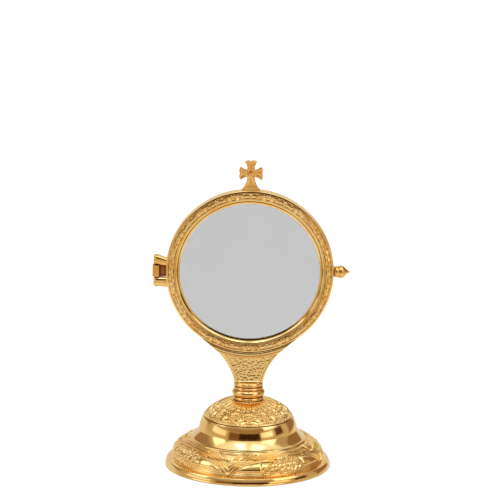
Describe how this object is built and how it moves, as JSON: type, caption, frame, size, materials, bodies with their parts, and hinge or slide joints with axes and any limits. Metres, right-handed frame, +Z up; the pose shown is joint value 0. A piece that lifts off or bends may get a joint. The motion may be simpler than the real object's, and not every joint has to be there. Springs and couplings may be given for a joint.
{
  "type": "table monstrance",
  "caption": "Round glass-windowed case with a chased border, cross finial, side hinge and knob, on a flared stem and a stepped, chased round foot; the rear half of the case swings open.",
  "frame": {"origin": "centre of the foot's resting plane", "axes": "+Z up; the front of the case looks along -Y; +X is to the right seen from the front, towards the knob"},
  "size_m": [0.0988, 0.0824, 0.1581],
  "materials": {
    "gilt_chased": "gilt, chased relief, bright",
    "gilt_polished": "gilt, mirror polished",
    "clear_glass": "clear, slightly grey",
    "plain_steel": "zinc plated, satin"
  },
  "bodies": {
    "stand": {"foot": "gilt_chased", "foot_dome": "gilt_chased", "seat_ring": "gilt_polished", "collar": "gilt_polished", "neck_ring": "gilt_polished", "stem": "gilt_chased", "tie_rod": "plain_steel", "clamp_washer": "plain_steel", "tie_nut": "plain_steel", "ring_front": "gilt_chased", "bezel_ring": "gilt_polished", "front_glass": "clear_glass", "front_glass_retainer": "gilt_polished", "hinge_lugs": "gilt_polished", "hinge_pin": "gilt_polished", "cross": "gilt_polished", "cross_boss": "gilt_polished"},
    "door": {"door_ring": "gilt_polished", "rear_glass": "clear_glass", "rear_glass_retainer": "gilt_polished", "hinge_arm": "gilt_polished", "clasp_tab": "gilt_polished", "door_knob": "gilt_polished"}
  },
  "joints": [
    {"name": "door_hinge", "type": "hinge", "parent": "stand", "child": "door", "pos_m": [-0.04675, 0, 0.1001], "axis": [0, 0, 1], "range_deg": [0, 180]}
  ]
}
